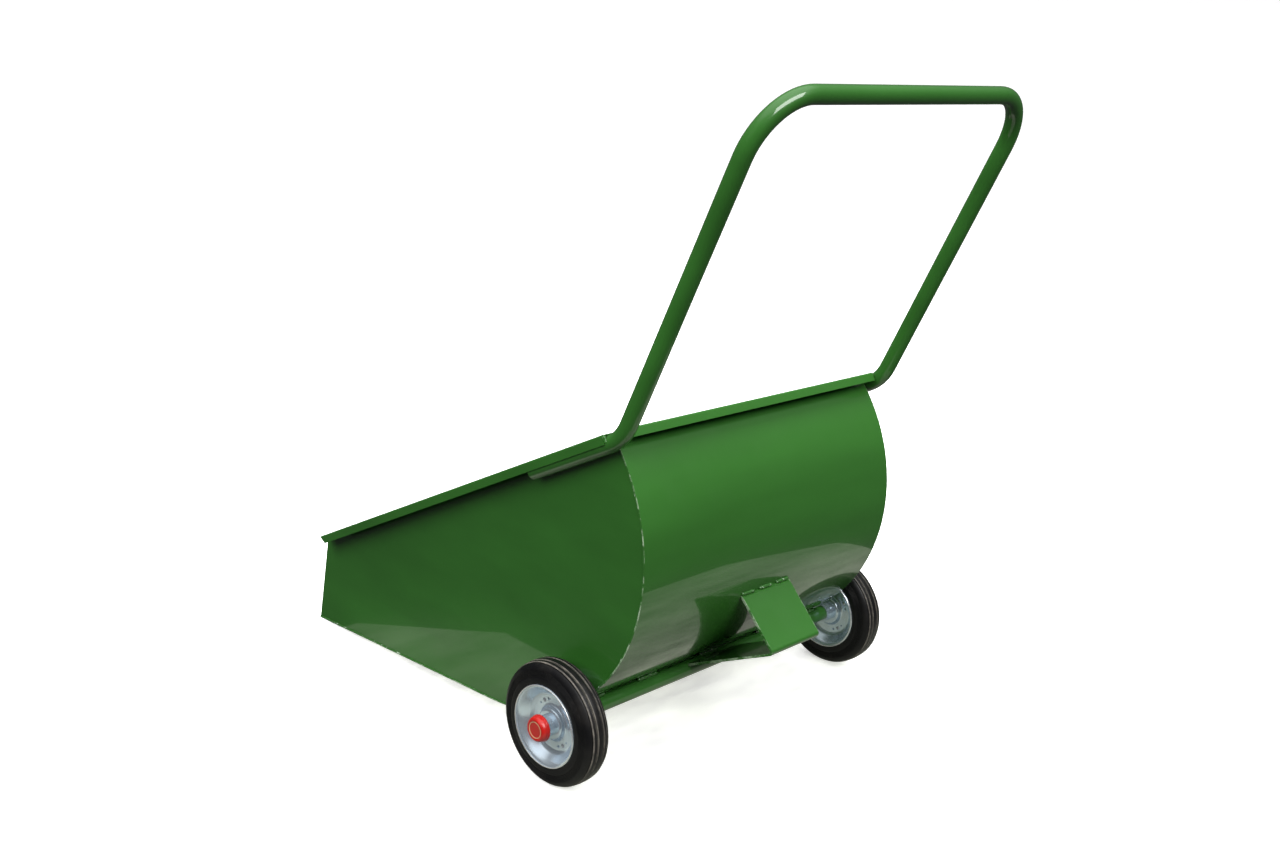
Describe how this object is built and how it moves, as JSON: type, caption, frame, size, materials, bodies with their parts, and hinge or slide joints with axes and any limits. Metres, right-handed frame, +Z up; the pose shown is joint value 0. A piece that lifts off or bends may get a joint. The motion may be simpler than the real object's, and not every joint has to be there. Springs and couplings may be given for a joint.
{
  "type": "two-wheeled garden scoop cart",
  "caption": "Push cart with an open-fronted rolled sheet-steel scoop, a bent tube handle, disc wheels on a cross axle and a rear foot bracket.",
  "frame": {"origin": "centre of the footprint at ground level, with the scoop resting on its front edge and both wheels", "axes": "+X to the user's left, +Y back towards the handle and the user, +Z up"},
  "size_m": [0.788, 0.9902, 1.0852],
  "materials": {
    "green_enamel": "glossy",
    "zinc_plate": "bright zinc",
    "bare_steel": "turned",
    "black_rubber": "satin",
    "red_plastic": "glossy",
    "white_nylon": "satin"
  },
  "bodies": {
    "cart": {"rolled_sheet": "green_enamel", "handle_tube": "green_enamel", "handle_weld_beads": "green_enamel", "axle_tube": "green_enamel", "axle_weld_beads": "green_enamel", "foot_bracket": "green_enamel", "bracket_weld_beads": "green_enamel", "left_side_panel": "green_enamel", "left_seam_weld": "green_enamel", "left_handle_end_plate": "green_enamel", "left_axle_stub": "bare_steel", "left_inner_washer": "zinc_plate", "left_outer_washer": "zinc_plate", "left_push_retainer": "bare_steel", "left_hub_cap": "red_plastic", "right_side_panel": "green_enamel", "right_seam_weld": "green_enamel", "right_handle_end_plate": "green_enamel", "right_axle_stub": "bare_steel", "right_inner_washer": "zinc_plate", "right_outer_washer": "zinc_plate", "right_push_retainer": "bare_steel", "right_hub_cap": "red_plastic"},
    "left_wheel": {"left_tyre": "black_rubber", "left_outer_rim_disc": "zinc_plate", "left_inner_rim_disc": "zinc_plate", "left_wheel_hub": "zinc_plate", "left_roller_cage": "white_nylon", "left_bearing_rollers": "bare_steel", "left_rim_rivets": "bare_steel"},
    "right_wheel": {"right_tyre": "black_rubber", "right_outer_rim_disc": "zinc_plate", "right_inner_rim_disc": "zinc_plate", "right_wheel_hub": "zinc_plate", "right_roller_cage": "white_nylon", "right_bearing_rollers": "bare_steel", "right_rim_rivets": "bare_steel"}
  },
  "joints": [
    {"name": "left_wheel_spin", "type": "hinge", "parent": "cart", "child": "left_wheel", "pos_m": [0, 0.21039, 0.1], "axis": [1, 0, 0], "continuous": true},
    {"name": "right_wheel_spin", "type": "hinge", "parent": "cart", "child": "right_wheel", "pos_m": [0, 0.21039, 0.1], "axis": [1, 0, 0], "continuous": true}
  ]
}
